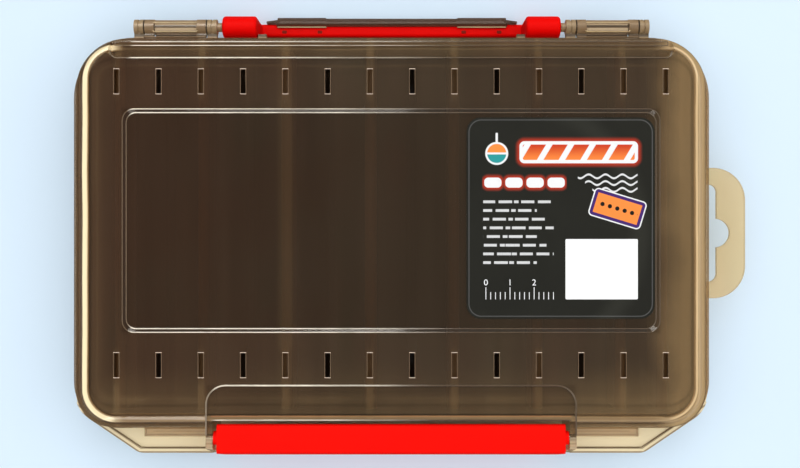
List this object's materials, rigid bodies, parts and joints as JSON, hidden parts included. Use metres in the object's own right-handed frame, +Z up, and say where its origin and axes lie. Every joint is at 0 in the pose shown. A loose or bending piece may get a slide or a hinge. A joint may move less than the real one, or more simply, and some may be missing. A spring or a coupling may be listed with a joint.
{
  "type": "double-sided lure box",
  "caption": "Slim double-sided tackle box for fishing lures, with a divided tray between two hinged lids, front latches, a folding handle and a hang tab.",
  "frame": {"origin": "centre of the closed box on the underside of the lower lid's deck", "axes": "+Z up through the upper lid, +Y towards the hinges and handle, +X towards the hang tab"},
  "size_m": [0.2916, 0.1937, 0.05],
  "materials": {
    "smoke_body": "translucent smoke-brown moulded plastic, polished outside",
    "smoke_tray": "translucent smoke-brown moulded plastic",
    "red_plastic": "opaque red moulded plastic, semi-gloss",
    "smoke_trim": "translucent smoke-brown strip over red",
    "pale_tab": "translucent pale smoke plastic, single layer",
    "steel_pin": "plain drawn steel rod",
    "label_print": null
  },
  "bodies": {
    "tray": {"tray": "smoke_tray", "right_hinge_pin": "steel_pin", "left_hinge_pin": "steel_pin", "upper_divider_1": "smoke_tray", "upper_divider_2": "smoke_tray", "upper_divider_3": "smoke_tray", "upper_divider_4": "smoke_tray", "upper_divider_5": "smoke_tray", "upper_divider_6": "smoke_tray", "upper_divider_7": "smoke_tray", "upper_divider_8": "smoke_tray", "lower_divider_1": "smoke_tray", "lower_divider_2": "smoke_tray", "lower_divider_3": "smoke_tray", "lower_divider_4": "smoke_tray", "lower_divider_5": "smoke_tray", "lower_divider_6": "smoke_tray", "lower_divider_7": "smoke_tray", "lower_divider_8": "smoke_tray"},
    "upper_lid": {"upper_lid": "smoke_body", "upper_latch_pins": "steel_pin", "label": "label_print"},
    "lower_lid": {"lower_lid": "smoke_body", "lower_latch_pins": "steel_pin"},
    "upper_latch": {"upper_latch": "red_plastic"},
    "lower_latch": {"lower_latch": "red_plastic"},
    "handle": {"carry_handle": "red_plastic", "handle_cover": "smoke_trim"},
    "hang_tab": {"hang_tab": "pale_tab"}
  },
  "joints": [
    {"name": "upper_lid_hinge", "type": "hinge", "parent": "tray", "child": "upper_lid", "pos_m": [0, 0.0952, 0.025], "axis": [1, 0, 0], "range_deg": [-90, 0]},
    {"name": "lower_lid_hinge", "type": "hinge", "parent": "tray", "child": "lower_lid", "pos_m": [0, 0.0952, 0.025], "axis": [-1, 0, 0], "range_deg": [-90, 0]},
    {"name": "handle_hinge", "type": "hinge", "parent": "lower_lid", "child": "handle", "pos_m": [0, 0.0952, 0.025], "axis": [1, 0, 0], "range_deg": [0, 180]},
    {"name": "upper_latch_hinge", "type": "hinge", "parent": "upper_lid", "child": "upper_latch", "pos_m": [0, -0.08, 0.0463], "axis": [-1, 0, 0], "range_deg": [0, 95]},
    {"name": "lower_latch_hinge", "type": "hinge", "parent": "lower_lid", "child": "lower_latch", "pos_m": [0, -0.08, 0.0037], "axis": [1, 0, 0], "range_deg": [0, 95]},
    {"name": "hang_tab_slide", "type": "slide", "parent": "tray", "child": "hang_tab", "axis": [1, 0, 0], "range_m": [-0.0075, 0]}
  ]
}
